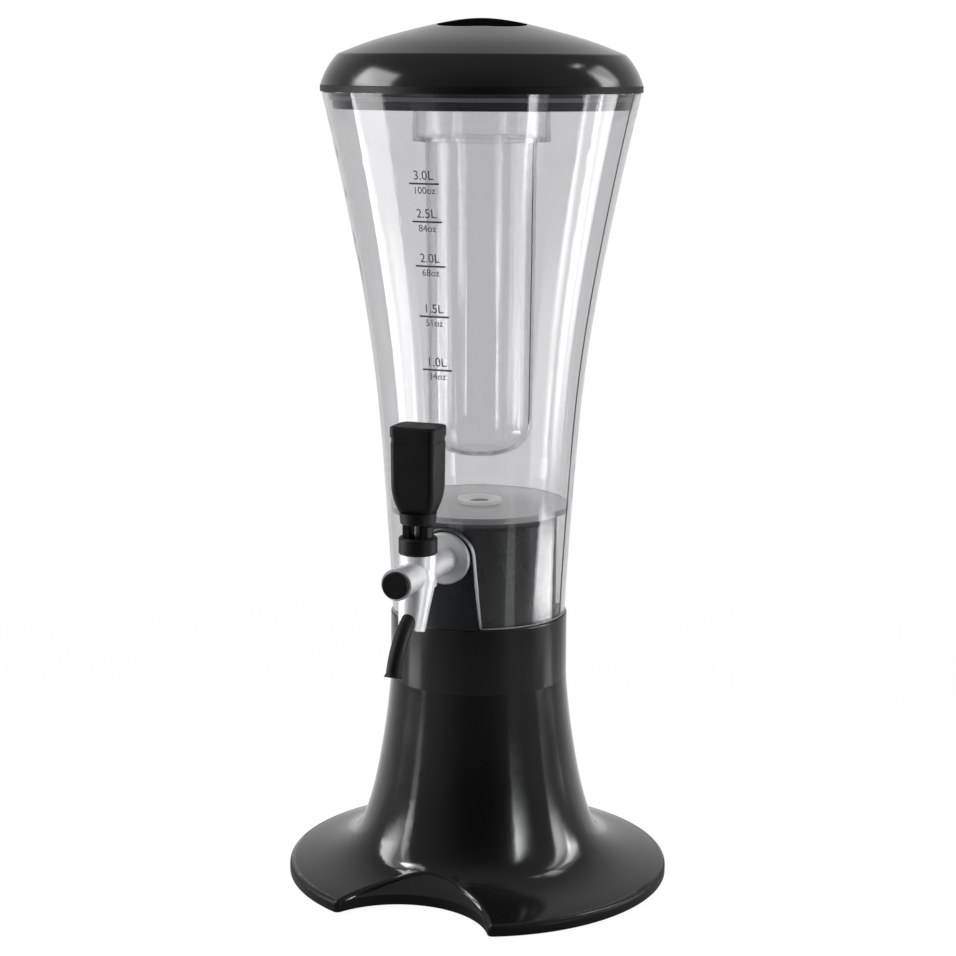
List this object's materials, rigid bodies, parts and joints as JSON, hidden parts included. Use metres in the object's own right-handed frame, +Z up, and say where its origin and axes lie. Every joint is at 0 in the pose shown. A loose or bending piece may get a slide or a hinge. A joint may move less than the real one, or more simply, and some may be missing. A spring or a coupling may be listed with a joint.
{
  "type": "beer tower dispenser",
  "caption": "Tall flared clear drink container on a black trumpet base with a notch, a front lever tap, a domed lid and a hanging ice tube.",
  "frame": {"origin": "on the tower's axis, in the plane that the base pad rests on", "axes": "+Z up along the tower, -Y towards the tap and the notch, +X to the right of someone who faces the tower's back from the tap side looking along +Y"},
  "size_m": [0.2636, 0.2872, 0.585],
  "materials": {
    "gloss_black": "gloss moulded",
    "inner_black": "plain moulded",
    "satin_black": "satin moulded",
    "clear_plastic": "clear moulded",
    "chrome_plate": "polished",
    "steel": "turned",
    "black_rubber": "matte",
    "silicone": "matte",
    "grey_plastic": "satin"
  },
  "bodies": {
    "base": {"base_shell": "gloss_black", "stem_sleeve": "gloss_black", "neck_housing": "inner_black", "bottom_cover": "inner_black", "drink_elbow": "inner_black", "front_cap": "satin_black", "bonnet_collar": "satin_black", "nozzle": "satin_black", "tap_body": "chrome_plate", "tap_shank": "chrome_plate", "shank_nut": "chrome_plate", "bottom_screws": "steel", "neck_screws": "steel", "elbow_screws": "steel", "anti_slip_pad": "black_rubber", "shank_seal": "black_rubber", "shank_washer": "black_rubber", "spigot_seal": "silicone", "tap_cover_plate": "grey_plastic", "friction_washer": "grey_plastic"},
    "container": {"container_shell": "clear_plastic", "container_floor": "clear_plastic", "outlet_spigot": "clear_plastic"},
    "lid": {"lid_shell": "gloss_black", "lid_plug": "inner_black", "lid_gasket": "silicone", "tube_seal": "silicone"},
    "ice_tube": {"ice_tube": "clear_plastic", "tube_collar": "clear_plastic"},
    "tap_lever": {"lever": "steel", "lever_ferrule": "satin_black", "handle": "satin_black", "handle_cap": "satin_black"},
    "tap_piston": {"valve_piston": "steel", "piston_seal": "black_rubber"}
  },
  "joints": [
    {"name": "container_lift", "type": "slide", "parent": "base", "child": "container", "axis": [0, 0, 1], "range_m": [0, 0.12]},
    {"name": "lid_lift", "type": "slide", "parent": "container", "child": "lid", "axis": [0, 0, 1], "range_m": [0, 0.26]},
    {"name": "ice_tube_twist", "type": "hinge", "parent": "lid", "child": "ice_tube", "pos_m": [0, 0, 0.531], "axis": [0, 0, 1], "range_deg": [0, 40]},
    {"name": "tap_lever_pull", "type": "hinge", "parent": "base", "child": "tap_lever", "pos_m": [0, -0.109, 0.25], "axis": [1, 0, 0], "range_deg": [0, 30]},
    {"name": "tap_piston_slide", "type": "slide", "parent": "base", "child": "tap_piston", "axis": [0, 1, 0], "range_m": [0, 0.0061]}
  ],
  "couplings": [
    {"joint": "tap_piston_slide", "follows": "tap_lever_pull", "m_per_rad": 0.011459}
  ]
}
